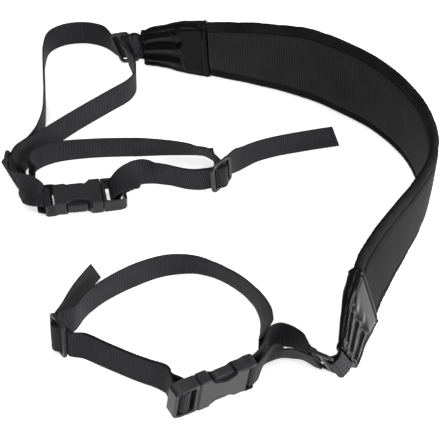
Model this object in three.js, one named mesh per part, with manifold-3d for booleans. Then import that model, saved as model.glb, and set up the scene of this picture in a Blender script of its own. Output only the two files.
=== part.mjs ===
// Shoulder strap for carrying light stands: a padded neoprene shoulder pad with leather end caps,
// and at each end a webbing strap that holds a leg loop closed by a side-release buckle.
// The strap lies on a flat surface with its pad and its webbing standing on edge.
// Millimetres, +Z up. Plan positions are set out first and the whole is centred at the end.
import * as THREE from 'three';
import { mergeVertices } from 'three/addons/utils/BufferGeometryUtils.js';
import Module from 'manifold-3d';

const wasm = await Module();
wasm.setup();

const { Vector3 } = THREE;
const rad = THREE.MathUtils.degToRad;

// ---- driving dimensions -------------------------------------------------------------------
const GAP = 0.35;                 // clearance between neighbouring pieces
const FLOOR = 0.2;                // lowest edge of webbing over the surface

const WEB = { width: 25, thick: 1.6 };
const MID = FLOOR + WEB.width / 2;            // centre height of webbing that stands on edge

const PAD = { thick: 10, core: 6.2, rim: 9, panel: 1.2, panelMargin: 1.2, panelGap: 0.55 };
const CAP = { ridge: 1.3, ridges: 3, narrowThick: 6.5 };

const SLIDE = { across: 33, run: 25, thick: 3, bar: 3.5, middleBar: 4, rail: 3.4, corner: 5 };
const SLOT = (SLIDE.run - 2 * SLIDE.bar - SLIDE.middleBar) / 2;
const OUTER_BAR_AT = SLIDE.run / 2 - SLIDE.bar / 2;

const BUCKLE = {
  half: 36.5,          // half of the fastened length
  mouth: 15,           // where the socket ends and the plug's frame begins
  width: 34, thick: 13, wall: 2.4,
  barEnd: 4.2,         // socket's strap bar, along the run
  slot: 4.6,           // socket's strap slot
};

// longest step between the sections of each kind of sweep
const BAND_STEP = 10;
const PAD_STEP = 12;
const CAP_STEP = 7;

// ---- materials ----------------------------------------------------------------------------
const finish = (name, color, roughness, metalness = 0) => {
  const material = new THREE.MeshStandardMaterial({ color, roughness, metalness });
  material.name = name;
  return material;
};
const webbing = finish('polyester_webbing', 0x2b2b2d, 0.85);
const neoprene = finish('neoprene', 0x1d1d1e, 0.8);
const mesh = finish('spacer_mesh', 0x262627, 0.9);
const fabric = finish('outer_fabric', 0x343435, 0.75);
const leather = finish('coated_leather', 0x161617, 0.3);
const plastic = finish('acetal_plastic', 0x2e2e30, 0.45);

const strap = new THREE.Group();
const add = (name, geometry, material, parent = strap) => {
  const piece = new THREE.Mesh(geometry, material);
  piece.name = name;
  parent.add(piece);
  return piece;
};

// ---- sweeps -------------------------------------------------------------------------------
// A row is a point on a band's middle line. lean tips the band's upper edge to the left of the
// way it runs: 0 stands on edge, 90 lies flat. A row may give the width's direction instead, and
// the last row the slant of a cut end.
const row = (x, y, z, lean) => ({ p: new Vector3(x, y, z), lean });

function widthAt(item, tangent) {
  if (item.w) return item.w.clone();
  const up = new Vector3(0, 0, 1);
  const raised = up.addScaledVector(tangent, -up.dot(tangent)).normalize();
  const left = new Vector3().crossVectors(raised, tangent);
  const a = rad(item.lean);
  return raised.multiplyScalar(Math.cos(a)).addScaledVector(left, Math.sin(a));
}

// Stations along a smooth line through the rows: place, across and out vectors, and a mix of the
// rows' own numbers (height and the like) for pieces whose section changes.
function stations(rows, step, keys = []) {
  const curve = new THREE.CatmullRomCurve3(rows.map((r) => r.p), false, 'centripetal');
  const last = rows.length - 1;
  const widths = rows.map((r, i) => widthAt(r, curve.getTangent(i / last)));
  for (let i = 1; i <= last; i += 1) {
    if (widths[i].dot(widths[i - 1]) < 0) widths[i].negate();
  }
  const list = [];
  for (let i = 0; i < last; i += 1) {
    const count = Math.max(1, Math.ceil(rows[i].p.distanceTo(rows[i + 1].p) / step));
    for (let k = 0; k < count + (i === last - 1 ? 1 : 0); k += 1) {
      const f = k / count;
      const t = (i + f) / last;
      const tangent = curve.getTangent(t);
      const across = widths[i].clone().lerp(widths[i + 1], f);
      across.addScaledVector(tangent, -across.dot(tangent)).normalize();
      const out = new Vector3().crossVectors(tangent, across);
      const cut = k === count && rad(rows[last].cut ?? 0);
      if (cut) across.applyAxisAngle(out, cut).divideScalar(Math.cos(cut));
      const mix = {};
      const s = f * f * (3 - 2 * f);
      for (const key of keys) mix[key] = THREE.MathUtils.lerp(rows[i][key], rows[i + 1][key], s);
      list.push({ p: curve.getPoint(t), across, out, ...mix });
    }
  }
  return list;
}

// A closed solid skinned over one ring of points per station. section(station) gives the ring as
// [across, out] pairs, anticlockwise seen against the run.
function skin(list, section) {
  const rings = list.map((s) => section(s).map(([a, o]) => (
    s.p.clone().addScaledVector(s.across, a).addScaledVector(s.out, o))));
  const n = rings[0].length;
  const points = rings.flat();
  const faces = [];
  for (let i = 0; i + 1 < rings.length; i += 1) {
    for (let k = 0; k < n; k += 1) {
      const a = i * n + k;
      const b = i * n + ((k + 1) % n);
      faces.push([a, b, b + n], [a, b + n, a + n]);
    }
  }
  const end = (rings.length - 1) * n;
  const flat = section(list[0]).map(([a, o]) => new THREE.Vector2(a, o));
  for (const [a, b, c] of THREE.ShapeUtils.triangulateShape(flat, [])) {
    faces.push([a, c, b]);
  }
  const flatEnd = section(list[list.length - 1]).map(([a, o]) => new THREE.Vector2(a, o));
  for (const [a, b, c] of THREE.ShapeUtils.triangulateShape(flatEnd, [])) {
    faces.push([end + a, end + b, end + c]);
  }
  const geometry = new THREE.BufferGeometry();
  geometry.setAttribute('position', new THREE.Float32BufferAttribute(
    points.flatMap((q) => [q.x, q.y, q.z]), 3));
  geometry.setIndex(faces.flat());
  return geometry;
}

const rectangle = (width, thick) => [
  [-width / 2, -thick / 2], [width / 2, -thick / 2], [width / 2, thick / 2], [-width / 2, thick / 2],
];

const band = (rows, last = {}) => {
  Object.assign(rows[rows.length - 1], last);
  return skin(stations(rows, BAND_STEP), () => rectangle(WEB.width, WEB.thick));
};

// ---- hardware frames ----------------------------------------------------------------------
// A fitting is drawn flat: x along the webbing's run, y across it, z out of its face. Its frame
// puts it in place: bearing of the run in plan, climb of the run, and lean as for a band.
function frame(x, y, z, bearing, climb, lean) {
  const b = rad(bearing);
  const c = rad(climb);
  const run = new Vector3(Math.cos(b) * Math.cos(c), Math.sin(b) * Math.cos(c), Math.sin(c));
  const raised = new Vector3(-Math.cos(b) * Math.sin(c), -Math.sin(b) * Math.sin(c), Math.cos(c));
  const left = new Vector3().crossVectors(raised, run);
  const a = rad(lean);
  const across = raised.multiplyScalar(Math.cos(a)).addScaledVector(left, Math.sin(a));
  const out = new Vector3().crossVectors(run, across);
  const origin = new Vector3(x, y, z);
  const group = new THREE.Group();
  group.matrix.makeBasis(run, across, out).setPosition(origin);
  group.matrix.decompose(group.position, group.quaternion, group.scale);
  strap.add(group);
  return { origin, run, across, out, group };
}

// A row of a band threaded through a fitting: run and out are measured in the fitting's frame.
const threaded = (f, run, out, shift = 0) => ({
  p: f.origin.clone().addScaledVector(f.run, run).addScaledVector(f.out, out)
    .addScaledVector(f.across, shift),
  w: f.across,
});

// A threaded row whose width is turned about the fitting's out direction.
function aside(f, run, out, shift, degrees) {
  const item = threaded(f, run, out, shift);
  item.w = f.across.clone().applyAxisAngle(f.out, rad(degrees));
  return item;
}

// Rows round a bar that lies across the fitting at the run position at, from one angle to another
// (0 points along the run, 90 out of the face).
function around(f, at, radius, from, to, shift = 0, parts = 4) {
  const rows = [];
  for (let i = 0; i <= parts; i += 1) {
    const a = rad(from + ((to - from) * i) / parts);
    rows.push(threaded(f, at + radius * Math.cos(a), radius * Math.sin(a), shift));
  }
  return rows;
}

// ---- booleans -----------------------------------------------------------------------------
function solid(geometry) {
  const bare = geometry.clone();
  bare.deleteAttribute('normal');
  bare.deleteAttribute('uv');
  const merged = mergeVertices(bare, 1e-4);
  return new wasm.Manifold(new wasm.Mesh({
    numProp: 3,
    vertProperties: new Float32Array(merged.attributes.position.array),
    triVerts: new Uint32Array(merged.index.array),
  }));
}

function geometryOf(manifold) {
  const cut = manifold.getMesh();
  const geometry = new THREE.BufferGeometry();
  const position = new THREE.BufferAttribute(new Float32Array(cut.vertProperties), 3);
  geometry.setAttribute('position', position);
  geometry.setIndex(new THREE.BufferAttribute(new Uint32Array(cut.triVerts), 1));
  return geometry;
}

const block = (x0, x1, y0, y1, z0, z1) => solid(
  new THREE.BoxGeometry(x1 - x0, y1 - y0, z1 - z0)
    .translate((x0 + x1) / 2, (y0 + y1) / 2, (z0 + z1) / 2));

// The points of an outline, each once.
function corners(path, curveSegments) {
  const points = path.getPoints(curveSegments);
  return points.filter((q, i) => q.distanceTo(points[(i + 1) % points.length]) > 1e-4);
}

// A plate with softened edges, centred on z = 0.
function plate(shape, thick, bevel, curveSegments = 6) {
  const outline = new THREE.Shape(corners(shape, curveSegments));
  outline.holes = shape.holes.map((hole) => new THREE.Path(corners(hole, curveSegments)));
  const geometry = new THREE.ExtrudeGeometry(outline, {
    depth: thick - 2 * bevel, bevelEnabled: bevel > 0, bevelThickness: bevel, bevelSize: bevel,
    bevelOffset: -bevel, bevelSegments: 1,
  });
  return geometry.translate(0, 0, -thick / 2 + bevel);
}

function roundedRectangle(path, x0, x1, y0, y1, r) {
  path.moveTo(x0 + r, y0);
  path.lineTo(x1 - r, y0);
  path.absarc(x1 - r, y0 + r, r, -Math.PI / 2, 0);
  path.lineTo(x1, y1 - r);
  path.absarc(x1 - r, y1 - r, r, 0, Math.PI / 2);
  path.lineTo(x0 + r, y1);
  path.absarc(x0 + r, y1 - r, r, Math.PI / 2, Math.PI);
  path.lineTo(x0, y0 + r);
  path.absarc(x0 + r, y0 + r, r, Math.PI, 1.5 * Math.PI);
  return path;
}

// ---- fittings -----------------------------------------------------------------------------
// Three-bar slide: two slots side by side between a middle bar and two outer bars.
function slideGeometry() {
  const { across, run, rail, corner, middleBar, thick } = SLIDE;
  const shape = roundedRectangle(new THREE.Shape(), -run / 2, run / 2, -across / 2, across / 2, corner);
  for (const side of [-1, 1]) {
    const near = (side * middleBar) / 2;
    const far = near + side * SLOT;
    const hole = roundedRectangle(new THREE.Path(), Math.min(near, far), Math.max(near, far),
      -across / 2 + rail, across / 2 - rail, 1.2);
    shape.holes.push(hole);
  }
  return plate(shape, thick, 0.5, 2);
}

// Outline of the socket: straight at the mouth, drawn in at the waist, wider at the strap bar.
function socketOutline() {
  const w = BUCKLE.width / 2;
  const { half, mouth } = BUCKLE;
  const edge = [[-half, w - 3], [-half + 2, w - 1.2], [-half + 8, w - 1.2], [-half + 12, w - 2.6],
    [-3, w - 1.4], [2, w - 1.2], [3.5, w], [mouth - 1, w], [mouth, w - 1]];
  const shape = new THREE.Shape();
  edge.forEach(([x, y], i) => (i ? shape.lineTo(x, -y) : shape.moveTo(x, -y)));
  edge.reverse().forEach(([x, y]) => shape.lineTo(x, y));
  shape.closePath();
  return shape;
}

const TAB = { at: -7, run: 10.5, out: 15.4 };       // the plug's release tabs in the socket's sides

function socketGeometry() {
  const { half, mouth, width, thick, wall, barEnd, slot } = BUCKLE;
  let body = solid(plate(socketOutline(), thick, 1.2));
  const room = thick / 2 - wall;
  body = body.subtract(block(-24, mouth + 1, -width / 2 + 3.4, width / 2 - 3.4, -room, room));
  const slotShape = roundedRectangle(new THREE.Shape(), -half + barEnd, -half + barEnd + slot,
    -width / 2 + 3, width / 2 - 3, 1);
  body = body.subtract(solid(plate(slotShape, thick + 2, 0, 2)));
  for (const side of [-1, 1]) {
    const scallop = new THREE.Shape();
    scallop.absellipse(TAB.at, side * (width / 2 + 2), TAB.run + 2.2, 9.5, 0, 2 * Math.PI);
    body = body.subtract(solid(plate(scallop, thick + 2, 0, 24)));
    // the strap bar is thinner than the body
    const z = side > 0 ? [3, thick] : [-thick, -3];
    body = body.subtract(block(-half - 1, -half + barEnd + slot / 2, -width / 2 + 3, width / 2 - 3, ...z));
  }
  return geometryOf(body);
}

function plugGeometry() {
  const { half, mouth, width, thick } = BUCKLE;
  const w = width / 2;
  const x0 = mouth + GAP;
  const outline = new THREE.Shape();
  const edge = [[x0, w - 1], [x0 + 1, w - 0.3], [half - 6, w - 0.8], [half - 1.5, w - 2.4],
    [half, w - 4.5]];
  edge.forEach(([x, y], i) => (i ? outline.lineTo(x, -y) : outline.moveTo(x, -y)));
  [...edge].reverse().forEach(([x, y]) => outline.lineTo(x, y));
  outline.closePath();
  outline.holes.push(roundedRectangle(new THREE.Path(), x0 + 3, half - 3, -w + 3.2, w - 3.2, 2));
  let body = solid(plate(outline, thick - 1, 0.7, 3));
  // adjusting bar across the frame, thinner than its rails
  body = body.add(block(PLUG_BAR - 1.6, PLUG_BAR + 1.6, -w + 2.4, w - 2.4, -1.4, 1.4));
  // guide tongue and two spring arms that end in the release tabs
  const room = thick / 2 - BUCKLE.wall - GAP;
  body = body.add(block(-4, x0 + 1, -2.2, 2.2, -2, 2));
  for (const side of [-1, 1]) {
    const arm = new THREE.Shape();
    const { at, run, out } = TAB;
    const profile = [[x0 + 1, 8.5], [at + run + 1, 7.5], [at, 7], [at - run, 8.2], [at - run, 11],
      [at - run * 0.9, out - 1.6], [at - run * 0.7, out - 0.4], [at - run * 0.4, out],
      [at + run * 0.5, out], [at + run * 0.8, out - 1.4], [at + run * 0.95, 12], [x0 + 1, 12]];
    profile.forEach(([x, y], i) => (i ? arm.lineTo(x, side * y) : arm.moveTo(x, side * y)));
    arm.closePath();
    body = body.add(solid(plate(arm, 2 * room, 0)));
  }
  return geometryOf(body);
}
const PLUG_BAR = BUCKLE.mouth + 11;
const SOCKET_BAR = -BUCKLE.half + BUCKLE.barEnd / 2;

// ---- places of the fittings ---------------------------------------------------------------
//                            x     y     z   bearing climb lean
const farCapEnd = frame(    -76,   264,   20.8,  160,   -6,    0);
const farSlide = frame(     -95,   267.5, 18.7,  -32,   24,   -4);
const jointSlide = frame(  -186.5,  54.5, 16.6,   90,    0,   24);
const farLegSlide = frame(    1,    46,   17.8,   46,   12,   -7);
const farBuckle = frame(   -120.5,  23,    8.8,   10,    0,   84);
const nearCapEnd = frame(    99.5, -210,  18.3, -108,  -28,  -14);
const nearSlide = frame(     83,   -211,   15.4, -38,    4,  -30.5);
const nearLegSlide = frame(-129,   -180,  17,    -60,    0,    0);
const nearBuckle = frame(    -6,   -243,  18.4,  211,    0,   13);

for (const [name, f] of Object.entries({
  far_slide: farSlide, far_joint_slide: jointSlide, far_leg_slide: farLegSlide,
  near_slide: nearSlide, near_leg_slide: nearLegSlide,
})) {
  add(name, slideGeometry(), plastic, f.group);
}
for (const [side, f] of [['far', farBuckle], ['near', nearBuckle]]) {
  add(`${side}_buckle_socket`, socketGeometry(), plastic, f.group);
  add(`${side}_buckle_plug`, plugGeometry(), plastic, f.group);
}

// ---- shoulder pad -------------------------------------------------------------------------
// x, y: middle line in plan; z: height of the middle; lean: outward; height: of the pad's side
const PAD_ROWS = [
  //   x      y      z   lean height
  [ -10,   243.5,  31,    0,  62],
  [  14,   234.5,  33.4,  0,  66.8],
  [  43,   222,    36.5, -1,  73],
  [  88.5, 198,    40,    0,  80],
  [ 115,   175,    41,   -1,  82],
  [ 140,   149.5,  41.4, -2,  82.8],
  [ 158.5, 122.5,  41.4, -2,  82.8],
  [ 172,    94,    41.4, -2,  82.8],
  [ 181,    62,    41.4,  0,  82.8],
  [ 183.5,  18,    41,    4,  82],
  [ 176,   -17,    40,    7,  80],
  [ 159.5, -53,    38,    4,  76],
  [ 138,   -94,    35.5, -4,  71],
  [ 122,  -128,    32.2, -12, 64.4],
  [ 117.2, -143.5, 30.4, -14.6, 60],
];
const CAP_ROWS = {
  //      x      y      z    lean height thick ridge
  far: [
    [ -11,   244,    30.7,   0,  61,  10.6,  0],
    [ -33,   250,    29,     0,  57.6, 9.5,  0],
    [ -39,   252,    28,     0,  55,   9,    1],
    [ -58,   258,    25,     0,  46,   7.5,  1],
  ],
  near: [
    [ 116.9, -144.4, 30.25, -14.7, 59.6, 10.6, 0],
    [ 110.8, -164,   28, -17.3, 53.6, 9.4,  0],
    [ 109,   -170,   26.5, -17.7, 51.4, 9,    1],
    [ 105.8, -182,   24,   -18,  46,   7.5,  1],
  ],
};
// heights near the narrow end: run position and height
const CAP_ENDS = {
  far: { f: farCapEnd, heights: [[-5, 39.5], [0, 38]] },
  near: { f: nearCapEnd, heights: [[-5, 38.5], [0, 36]] },
};

const padRows = PAD_ROWS.map(([x, y, z, lean, height]) => ({ ...row(x, y, z, lean), height }));
const padStations = stations(padRows, PAD_STEP, ['height']);

// Section of the foam core: thick rims along both edges, thinner where the panels lie.
function padSection({ height }) {
  const h = height / 2;
  const t = PAD.thick / 2;
  const c = PAD.core / 2;
  const half = [[-h, -0.36 * t], [-h + 1.2, -0.8 * t], [-h + 3.5, -t], [-h + PAD.rim - 1, -t],
    [-h + PAD.rim, -c]];
  const lower = [...half, ...half.map(([a, o]) => [-a, o]).reverse()];
  return [...lower, ...lower.map(([a, o]) => [a, -o]).reverse()];
}
add('pad_body', skin(padStations, padSection), neoprene);

const panel = (side) => skin(padStations.slice(1, -1), ({ height }) => {
  const h = height / 2 - PAD.rim - PAD.panelMargin;
  const o = side * (PAD.core / 2 + PAD.panelGap + PAD.panel / 2);
  return rectangle(2 * h, PAD.panel).map(([a, b]) => [a, b + o]);
});
add('pad_inner_panel', panel(1), mesh);
add('pad_outer_panel', panel(-1), fabric);

// Section of an end cap: a flat pillow whose faces rise in lengthwise ridges.
function capSection({ height, thick, ridge }) {
  const h = height / 2;
  const t = thick / 2;
  const wave = (u) => ridge * CAP.ridge * 0.5 * (1 - Math.cos(Math.PI * CAP.ridges * (u + 1)));
  const lower = [[-h, -0.4 * t], [-h + 1.2, -0.85 * t]];
  const count = 4 * CAP.ridges;
  for (let i = 0; i <= count; i += 1) {
    const u = -1 + (2 * i) / count;
    lower.push([u * (h - 3), -t - wave(u) + ridge * CAP.ridge * 0.5]);
  }
  lower.push([h - 1.2, -0.85 * t], [h, -0.4 * t]);
  return [...lower, ...lower.map(([a, o]) => [a, -o]).reverse()];
}
for (const [side, rows] of Object.entries(CAP_ROWS)) {
  const list = rows.map(([x, y, z, lean, height, thick, ridge]) => ({
    ...row(x, y, z, side === 'far' ? -lean : lean), height, thick, ridge,
  }));
  for (const [run, height] of CAP_ENDS[side].heights) {
    list.push({ ...threaded(CAP_ENDS[side].f, run, 0), height, thick: CAP.narrowThick, ridge: 1 });
  }
  add(`${side}_end_cap`, skin(stations(list, CAP_STEP, ['height', 'thick', 'ridge']), capSection), leather);
}

// ---- webbing ------------------------------------------------------------------------------
const PLY = WEB.thick + GAP;                              // from one layer to the next
const ON_BAR = SLIDE.thick / 2 + WEB.thick / 2 + GAP;     // first layer over a slide's bars
const ROUND_MIDDLE = 3.4;                                 // turns round a slide's middle bar,
const ROUND_OUTER = 3.45;                                 // round one of its outer bars,
const ROUND_SOCKET = 4.9;                                 // round the socket's strap bar
const ROUND_PLUG = 3.4;                                   // and round the plug's bar
const LOOSE_PLUG = 5.1;                                   // loosely round the near plug's bar

// Rows from behind a slide's outer bar into the slot beside its middle bar, for the layer next to
// the middle bar (0) and the layer over it (1). end: which outer bar.
const SLOT_ROWS = [
  [[OUTER_BAR_AT, -ON_BAR - PLY], [7.8, -4], [5.2, -2.2]],
  [[OUTER_BAR_AT, -ON_BAR], [8.6, -2.5], [7.2, -0.7]],
];
const intoSlot = (f, layer, end) => (
  SLOT_ROWS[layer].map(([run, out]) => threaded(f, end * run, out)));
const outOfSlot = (f, layer, end) => intoSlot(f, layer, end).reverse();

// table rows: x, y, lean, height of the middle line
const stand = (table) => table.map(([x, y, lean = 0, z = MID]) => row(x, y, z, lean));

// A tab sewn into an end cap and turned round the slide's outer bar from one angle to another.
// side is the cap's face that the tab's first ply lies on.
function tab(slide, capEnd, side, from, to, shift = 0) {
  const ply = side * (PLY / 2 + 0.25);
  return band([
    threaded(capEnd, 0.8, ply, shift),
    threaded(capEnd, 3.8, ply * 1.15, shift),
    ...around(slide, OUTER_BAR_AT, ROUND_OUTER, from, to, 0, 5),
    threaded(capEnd, 3.8, -ply * 1.15, shift),
    threaded(capEnd, 0.8, -ply, shift),
  ]);
}
add('far_tab', tab(farSlide, farCapEnd, -1, 50, 230), webbing);
add('near_tab', tab(nearSlide, nearCapEnd, 1, 188, -5, 3.9), webbing);

// Far length strap: sewn round the joint slide's middle bar, out to the far slide and round its
// middle bar, back and through the joint slide, and round the buckle's strap bar.
add('far_length_strap', band([
  ...around(jointSlide, 0, ROUND_MIDDLE, -230, 20, 0, 7),
  threaded(jointSlide, 3.6, 3.6),
  threaded(jointSlide, 6.5, ON_BAR + PLY + 0.3),
  threaded(jointSlide, OUTER_BAR_AT, ON_BAR + PLY),
  ...stand([
    //  x     y    lean
    [-180.4, 76,   20, 16],
    [-174,   94,    8],
    [-162,  110,   4],
    [-135,  144,   0],
    [-105,  178,   0],
    [ -88.5, 197,  0],
    [ -83,  212,   0],
    [ -83.5, 230,  0, 13.5],
    [ -87,  243,   4, 15.5],
    [ -91.8, 252, 12, 18],
  ]),
  threaded(farSlide, 4.6, 5.5),
  threaded(farSlide, 4.4, 2.6),
  ...around(farSlide, 0, ROUND_MIDDLE + 0.6, 0, -90, 0, 3),
  threaded(farSlide, -OUTER_BAR_AT, -ON_BAR - 0.3, 0),
  ...stand([
    [-118,  299,   0, 13],
    [-137,  307,   0],
    [-158,  303,   0],
    [-172,  289,   0],
    [-175.5, 264,  0],
    [-172.5, 222,  0],
    [-168,  172,   0],
    [-167,  140,   0],
    [-171,  114,   2],
    [-176.5, 94,  -6],
    [-182.6, 76, -18, 16],
  ]),
  threaded(jointSlide, OUTER_BAR_AT, ON_BAR + 0.3),
  ...around(jointSlide, 0, ROUND_MIDDLE + PLY, 22, -202, 0, 7),
  threaded(jointSlide, -OUTER_BAR_AT, ON_BAR + 0.3),
  threaded(jointSlide, -16, ON_BAR + 1.3),
  row(-178.8, 34, 16, 0),
  row(-172.5, 28.5, 14.8, 30),
  row(-166, 20.5, 14.2, 60),
  threaded(farBuckle, -41.5, 4.6),
  ...around(farBuckle, SOCKET_BAR, ROUND_SOCKET, 120, -120, 0, 8),
  threaded(farBuckle, -43, -1.6),
]), webbing);

// A leg strap runs from its sewn end through the leg slide to the plug's bar and back through the
// slide, where its end hangs out as a tail. near is the layer next to the slide's middle bar.
add('far_leg_strap', band([
  ...stand([
    [-167,   45,  -10, 14],
    [-171,   53,   -4, 13],
    [-173,   63,    0],
    [-170.5, 73,    0],
    [-163,   82,   -4],
    [-149,   89.5, -8],
    [-120,   95,  -12],
    [ -75,   97.2, -14],
    [ -40,   95.5, -26],
    [ -19,   91,  -38],
    [  -4,   78,  -30, 14],
  ]),
  threaded(farLegSlide, 6.5, -14, -2),
  threaded(farLegSlide, 4.6, -5),
  ...around(farLegSlide, 0, ROUND_MIDDLE, 0, 180, 0, 5),
  ...outOfSlot(farLegSlide, 0, -1).slice(0, -1),
  ...stand([
    [ -19,   44.4,  12, 13.6],
    [ -31,   46.9,  12],
    [ -46,   52.7,  12],
    [ -60,   56,   10],
    [ -71,   55,   -5, 14.5],
    [ -79,   47,  -40, 15],
  ]),
  aside(farBuckle, 34.5, 8, 3, 35),
  threaded(farBuckle, 30, 4.6),
  ...around(farBuckle, PLUG_BAR, ROUND_PLUG, 20, -200, 0, 7),
  threaded(farBuckle, 24.6, 6.4),
  aside(farBuckle, 33, 10.2, 3, 35),
  ...stand([
    [ -77.5, 46.2, 40, 16.4],
    [ -70.2, 53,    5, 14.7],
    [ -59.8, 53.9, -10],
    [ -45.4, 50.7, -12],
    [ -30.6, 44.9, -12],
    [ -19,   42.4, -12, 13.6],
  ]),
  ...intoSlot(farLegSlide, 1, -1).slice(1),
  ...around(farLegSlide, 0, ROUND_MIDDLE + PLY, 158, 22, 0, 6),
  ...outOfSlot(farLegSlide, 1, 1),
  threaded(farLegSlide, 15, -ON_BAR - 0.4),
  ...stand([
    [  18,   75.5,  0, 14],
    [  34,   90,   -6],
    [  53,   99,   -8],
    [  86,  109.5, -8],
    [ 108,  115.5, -8],
  ]),
], { cut: 20 }), webbing);

// Near length strap: a short loop from the near slide round the near buckle's strap bar.
add('near_length_strap', band([
  threaded(nearSlide, -OUTER_BAR_AT + 4, -ON_BAR - 0.2),
  threaded(nearSlide, -OUTER_BAR_AT - 1, -ON_BAR - 0.6),
  ...stand([
    [  69.5, -189, 14, 14],
    [  60, -179.5, 8, 14],
    [  48, -175,   0, 13.5],
    [  39, -182,   0, 14],
    [  35, -198, 4, 16],
  ]),
  threaded(nearBuckle, -42, 6.2),
  ...around(nearBuckle, SOCKET_BAR, ROUND_SOCKET, 110, -130, 0, 8),
  threaded(nearBuckle, -43, -1),
  ...stand([
    [  40, -199,  -20, 13.5],
    [  50, -195.5, -34, 11.4],
    [  62.5, -198.4, -34, 12.6],
  ]),
  threaded(nearSlide, -OUTER_BAR_AT - 2, ON_BAR + 0.6),
  threaded(nearSlide, -OUTER_BAR_AT + 4, ON_BAR + 0.3),
]), webbing);

add('near_leg_strap', band([
  ...stand([
    [  31, -197,   0, 15],
    [  34.5, -182, -12, 14],
    [  37,  -168, -26],
    [  37.3, -155, -20],
    [  34.5, -140, -6],
    [  28.3, -125,  6],
    [  19,  -110.5, 12],
    [   7.5, -98.5, 16],
    [  -5.5, -88.5, 18],
    [ -21,  -81.5, 15],
    [ -45,  -82.5,  7],
    [ -70,  -95,    2],
    [ -95, -116,    3],
    [-110, -135.5,  2],
    [-118, -155,    0, 14],
  ]),
  ...intoSlot(nearLegSlide, 0, -1),
  ...around(nearLegSlide, 0, ROUND_MIDDLE, 180, 0, 0, 5),
  ...outOfSlot(nearLegSlide, 0, 1),
  threaded(nearLegSlide, 14.5, -ON_BAR - PLY),
  ...stand([
    [-108, -190.5, 0, 16],
    [ -90, -199,  0, 13.5],
    [ -66, -213.5, 0, 13],
    [ -52, -222,  0, 14],
    [ -41.5, -229.5, 4, 15],
  ]),
  threaded(nearBuckle, 25, 15, -3.6),
  threaded(nearBuckle, PLUG_BAR - LOOSE_PLUG + 0.6, 8, -1.4),
  ...around(nearBuckle, PLUG_BAR, LOOSE_PLUG, -180, 0, 0, 6),
  threaded(nearBuckle, PLUG_BAR + LOOSE_PLUG - 0.6, 8, -1.4),
  threaded(nearBuckle, 28.6, 15, -3.6),
  ...stand([
    [ -43.1, -230.7, -4, 15],
    [ -53.2, -223.8, 0, 14],
    [ -67.2, -215.3, 0, 13],
    [ -91, -201,    0, 13.5],
    [-109, -192.6,  0, 16],
  ]),
  threaded(nearLegSlide, 14.5, -ON_BAR),
  ...intoSlot(nearLegSlide, 1, 1),
  ...around(nearLegSlide, 0, ROUND_MIDDLE + PLY, 22, 158, 0, 6),
  ...outOfSlot(nearLegSlide, 1, -1),
  ...stand([
    [-127.5, -150, 0, 14],
    [-120, -124,   0],
    [-104.5, -90,  0],
  ]),
], { cut: 32 }), webbing);

// ---- whole --------------------------------------------------------------------------------
// The origin is the middle of the underside of the strap's box.
strap.updateMatrixWorld(true);
const box = new THREE.Box3().setFromObject(strap, true);
strap.position.set(-(box.min.x + box.max.x) / 2, -(box.min.y + box.max.y) / 2, -box.min.z);

export default strap;
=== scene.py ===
"""Looks of a light stand shoulder strap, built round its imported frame.

The pad, its linings and end caps, the webbing and the moulded fittings each have an operator.
Everything is in metres, in the frame's own place; sizes are given in millimetres.
"""

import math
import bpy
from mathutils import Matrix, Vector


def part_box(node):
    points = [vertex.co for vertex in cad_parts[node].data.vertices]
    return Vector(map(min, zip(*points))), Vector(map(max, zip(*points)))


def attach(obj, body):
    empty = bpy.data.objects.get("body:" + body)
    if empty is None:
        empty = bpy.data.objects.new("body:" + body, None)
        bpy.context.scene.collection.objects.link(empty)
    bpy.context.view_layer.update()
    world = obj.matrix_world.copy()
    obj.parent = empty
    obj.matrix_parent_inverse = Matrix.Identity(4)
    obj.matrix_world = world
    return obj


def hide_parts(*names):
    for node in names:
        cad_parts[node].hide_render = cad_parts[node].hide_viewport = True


bl_info = {
    "name": "Light stand shoulder strap",
    "version": (1, 0, 0),
    "blender": (4, 5, 0),
    "location": "View3D > Sidebar > Shoulder strap",
    "description": "Builds the pad, webbing, buckles and slides of a light stand shoulder strap",
    "category": "Object",
}

import bmesh
import bpy
import numpy as np
from bpy.props import FloatProperty, FloatVectorProperty, PointerProperty
from mathutils import Vector

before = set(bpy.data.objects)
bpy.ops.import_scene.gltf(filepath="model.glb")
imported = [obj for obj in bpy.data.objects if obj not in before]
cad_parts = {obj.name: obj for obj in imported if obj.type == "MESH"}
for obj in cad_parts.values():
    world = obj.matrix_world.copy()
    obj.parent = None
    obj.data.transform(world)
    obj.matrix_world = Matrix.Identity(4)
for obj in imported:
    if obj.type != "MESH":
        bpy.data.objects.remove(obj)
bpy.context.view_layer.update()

MM = 0.001
BODY = "root"

ENDS = (0, -1)          # the first and the last section of a run
SAME_POINT = 1e-6       # points that are nearer than this, in metres, are merged
# how many corners the section of a swept node has
BAND_CORNERS = 4
PAD_CORNERS = 20
CAP_CORNERS = 34


def linear(code):
    """An sRGB hex value as linear red, green and blue."""
    parts = [int(code[i:i + 2], 16) / 255 for i in (1, 3, 5)]
    return tuple(c / 12.92 if c <= 0.04045 else ((c + 0.055) / 1.055) ** 2.4 for c in parts)


def colour(name, description, code):
    """A colour property whose default is an sRGB hex value."""
    return FloatVectorProperty(
        name=name, description=description, subtype="COLOR", size=3, min=0, max=1,
        default=linear(code))


def size(name, description, metres, low=0.0):
    """A length property in metres."""
    return FloatProperty(
        name=name, description=description, default=metres, min=low, unit="LENGTH",
        subtype="DISTANCE", precision=5)


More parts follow.
